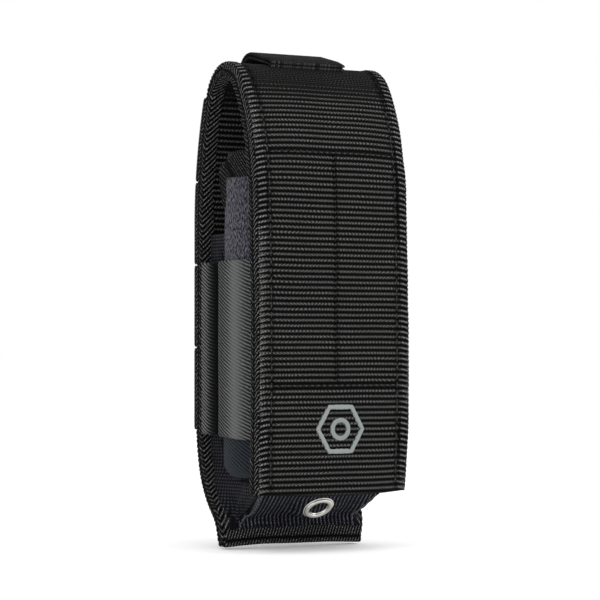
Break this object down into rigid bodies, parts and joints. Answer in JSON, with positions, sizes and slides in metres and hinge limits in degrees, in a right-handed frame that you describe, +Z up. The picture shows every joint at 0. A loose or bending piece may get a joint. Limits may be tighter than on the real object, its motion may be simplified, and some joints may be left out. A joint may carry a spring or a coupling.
{
  "type": "belt sheath",
  "caption": "Upright webbing belt sheath for a folding multi tool, with a fold-over flap, elastic sides, a drain eyelet and a snap strap behind webbing rows.",
  "frame": {"origin": "the middle of the belt channel, between the webbing rows on the back and the belt strap, on the sheath's middle plane", "axes": "+Z up towards the crown, +Y towards the wearer, the flap faces -Y, +X to the right of someone facing the flap"},
  "size_m": [0.052, 0.05, 0.1512],
  "materials": {
    "webbing": "heavy ribbed nylon webbing, black, dull sheen on the ribs",
    "strap_webbing": "one-inch nylon webbing, black, fine weave",
    "binding": "narrow ribbed binding tape, black",
    "nylon": "ballistic nylon, basket weave, blue-black",
    "elastic": "twill-faced elastic, charcoal",
    "loop_pile": "brushed loop fastener, slate grey",
    "hook_tape": "moulded hook fastener, black",
    "foam": "closed-cell foam between two cloths, dark grey",
    "stiffener": "polyethylene strip, black",
    "thread": "bonded nylon thread, black",
    "mark_thread": "satin-stitched rayon thread, light grey",
    "nickel": "nickel plate, polished",
    "snap_black": "black lacquer, satin",
    "snap_metal": "blackened brass, dull"
  },
  "bodies": {
    "root": {"back_webbing": "webbing", "back_lining": "webbing", "webbing_row_1": "webbing", "webbing_row_2": "webbing", "webbing_row_3": "webbing", "webbing_row_4": "webbing", "strap_sewn_end": "strap_webbing", "back_binding_left": "binding", "back_binding_right": "binding", "pocket_binding": "binding", "seam_binding": "binding", "pocket_front": "nylon", "sloping_front": "nylon", "side_wall_left": "nylon", "side_wall_right": "nylon", "pocket_lining": "nylon", "elastic_band_left": "elastic", "elastic_band_right": "elastic", "loop_panel": "loop_pile", "pocket_pad": "foam", "row_tacks": "thread", "eyelet": "nickel", "eyelet_washer": "nickel", "snap_stud": "snap_metal", "snap_rivet": "snap_metal"},
    "crown": {"crown_webbing": "webbing", "crown_lining": "webbing", "crown_binding_left": "binding", "crown_binding_right": "binding", "crown_loop": "strap_webbing"},
    "flap": {"flap_webbing": "webbing", "flap_lining": "webbing", "flap_binding_left": "binding", "flap_binding_right": "binding", "hook_panel": "hook_tape", "flap_stitching": "thread", "embroidered_mark": "mark_thread"},
    "belt_strap": {"strap_inner": "strap_webbing", "strap_stiffener": "stiffener", "strap_outer": "strap_webbing", "snap_cap": "snap_black", "snap_socket": "snap_metal"}
  },
  "joints": [
    {"name": "crown_fold", "type": "hinge", "parent": "root", "child": "crown", "pos_m": [0, -0.01063, 0.06821], "axis": [-1, 0, 0], "range_deg": [0, 70]},
    {"name": "flap_fold", "type": "hinge", "parent": "crown", "child": "flap", "pos_m": [0, -0.03235, 0.07186], "axis": [-1, 0, 0], "range_deg": [0, 110]},
    {"name": "strap_swing", "type": "hinge", "parent": "root", "child": "belt_strap", "pos_m": [0, -0.0014, 0.05209], "axis": [1, 0, 0], "range_deg": [0, 150]}
  ]
}
